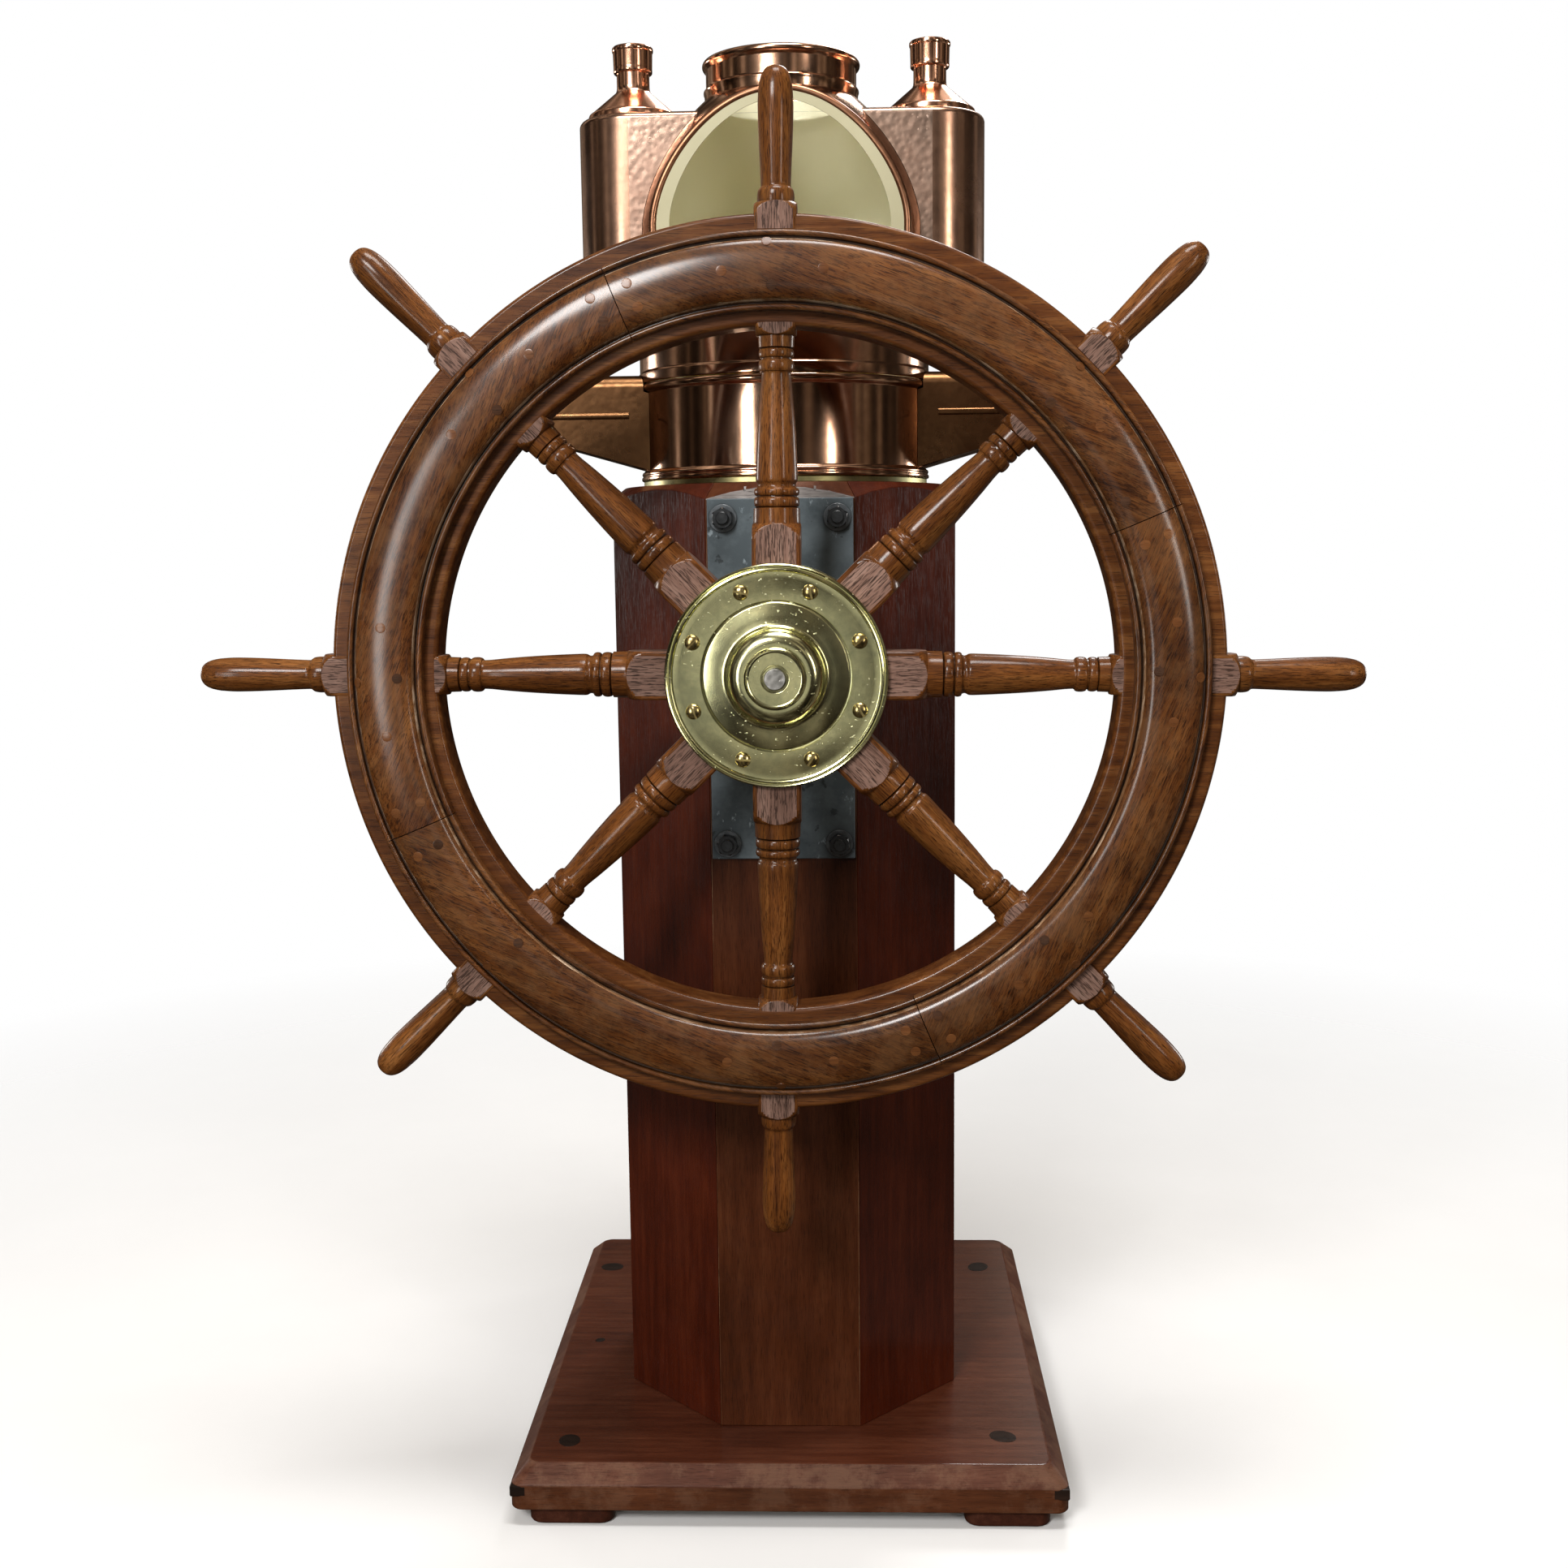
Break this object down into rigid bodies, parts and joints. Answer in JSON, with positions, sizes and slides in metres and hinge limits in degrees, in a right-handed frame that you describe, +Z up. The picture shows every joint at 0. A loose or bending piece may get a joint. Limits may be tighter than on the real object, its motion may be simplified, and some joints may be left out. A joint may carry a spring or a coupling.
{
  "type": "binnacle compass",
  "caption": "Ship's helm: a spoked steering wheel on an octagonal wooden column that carries a copper binnacle with a gimballed compass and side lamps.",
  "frame": {"origin": "on the floor under the middle of the object's bounding box; the column's axis is 12 mm behind it", "axes": "+Z up along the column; the helmsman stands at -Y facing the wheel, whose shaft runs along Y; +X is to the right when looking along +Y"},
  "size_m": [1.0668, 0.6978, 1.488],
  "materials": {
    "plinth_mahogany": "glossy varnish, worn pale on the bevels, dark stains at the bolts",
    "column_mahogany": "semi-gloss varnish, dark red with upright grain",
    "front_stave_brown": "worn varnish, browner, pale and bare at the top edge",
    "wheel_oak": "oiled and hand-polished, open straight grain",
    "rim_oak": "worn satin, open curved grain with round wood plugs",
    "beam_oak": "bare sawn",
    "hub_brass": "polished with fine scratches",
    "fitting_brass": "polished, a little dull",
    "copper": "polished copper, lightly hammered on the lamp housings, cream paint inside the hood",
    "black_iron": "black paint, worn paler at the edges",
    "shaft_steel": "bright, pitted at the end",
    "clear_glass": "clear",
    "card": "printed card"
  },
  "bodies": {
    "pedestal": {"batten_left": "plinth_mahogany", "batten_right": "plinth_mahogany", "plinth_board_front": "plinth_mahogany", "plinth_board_middle": "plinth_mahogany", "plinth_board_rear": "plinth_mahogany", "front_right_stave": "column_mahogany", "right_stave": "column_mahogany", "rear_right_stave": "column_mahogany", "rear_stave": "column_mahogany", "rear_left_stave": "column_mahogany", "left_stave": "column_mahogany", "front_left_stave": "column_mahogany", "column_top_board": "column_mahogany", "front_stave": "front_stave_brown", "bearing_beam": "beam_oak", "spindle_plate": "black_iron", "mounting_ring": "fitting_brass", "drum": "copper", "corrector_housing_left": "copper", "corrector_housing_right": "copper", "soft_iron_left": "black_iron", "soft_iron_right": "black_iron"},
    "wheel": {"spoke_1": "wheel_oak", "spoke_2": "wheel_oak", "spoke_3": "wheel_oak", "spoke_4": "wheel_oak", "spoke_5": "wheel_oak", "spoke_6": "wheel_oak", "spoke_7": "wheel_oak", "spoke_8": "wheel_oak", "felloe_ring": "rim_oak", "rim_front_1": "rim_oak", "rim_front_2": "rim_oak", "rim_front_3": "rim_oak", "rim_front_4": "rim_oak", "rim_rear": "rim_oak", "hub_core": "hub_brass", "hub_front_plate": "hub_brass", "hub_rear_plate": "hub_brass", "hub_nut": "hub_brass", "wheel_shaft": "shaft_steel", "sprocket": "black_iron"},
    "hood": {"hood": "copper", "window_glass": "clear_glass", "skylight_glass": "clear_glass", "lamp_housing_left": "copper", "lamp_housing_right": "copper", "oil_lamp_left": "fitting_brass", "oil_lamp_right": "fitting_brass"},
    "lamp_lid_left": {"lamp_lid_left": "copper"},
    "lamp_lid_right": {"lamp_lid_right": "copper"},
    "gimbal_ring": {"gimbal_ring": "fitting_brass"},
    "compass_bowl": {"compass_bowl": "fitting_brass", "compass_glass": "clear_glass"},
    "compass_card": {"compass_card": "card"},
    "door": {"rear_door": "column_mahogany", "door_hinge": "fitting_brass"},
    "door_knob": {"door_knob": "fitting_brass"}
  },
  "joints": [
    {"name": "wheel_turn", "type": "hinge", "parent": "pedestal", "child": "wheel", "pos_m": [0, -0.2843, 0.8554], "axis": [0, -1, 0], "continuous": true},
    {"name": "hood_lift", "type": "slide", "parent": "pedestal", "child": "hood", "axis": [0, 0, 1], "range_m": [0, 0.35]},
    {"name": "lamp_lid_left_lift", "type": "slide", "parent": "hood", "child": "lamp_lid_left", "axis": [0, 0, 1], "range_m": [0, 0.18]},
    {"name": "lamp_lid_right_lift", "type": "slide", "parent": "hood", "child": "lamp_lid_right", "axis": [0, 0, 1], "range_m": [0, 0.18]},
    {"name": "gimbal_ring_tilt", "type": "hinge", "parent": "pedestal", "child": "gimbal_ring", "pos_m": [0, 0.012, 1.125], "axis": [1, 0, 0], "range_deg": [-25, 25]},
    {"name": "compass_bowl_tilt", "type": "hinge", "parent": "gimbal_ring", "child": "compass_bowl", "pos_m": [0, 0.012, 1.125], "axis": [0, 1, 0], "range_deg": [-25, 25]},
    {"name": "compass_card_turn", "type": "hinge", "parent": "compass_bowl", "child": "compass_card", "pos_m": [0, 0.012, 1.125], "axis": [0, 0, 1], "continuous": true},
    {"name": "door_swing", "type": "hinge", "parent": "pedestal", "child": "door", "pos_m": [-0.0455, 0.193, 0.54], "axis": [0, 0, 1], "range_deg": [0, 110]},
    {"name": "door_knob_turn", "type": "hinge", "parent": "door", "child": "door_knob", "pos_m": [0.03, 0.202, 0.54], "axis": [0, 1, 0], "range_deg": [0, 90]}
  ]
}
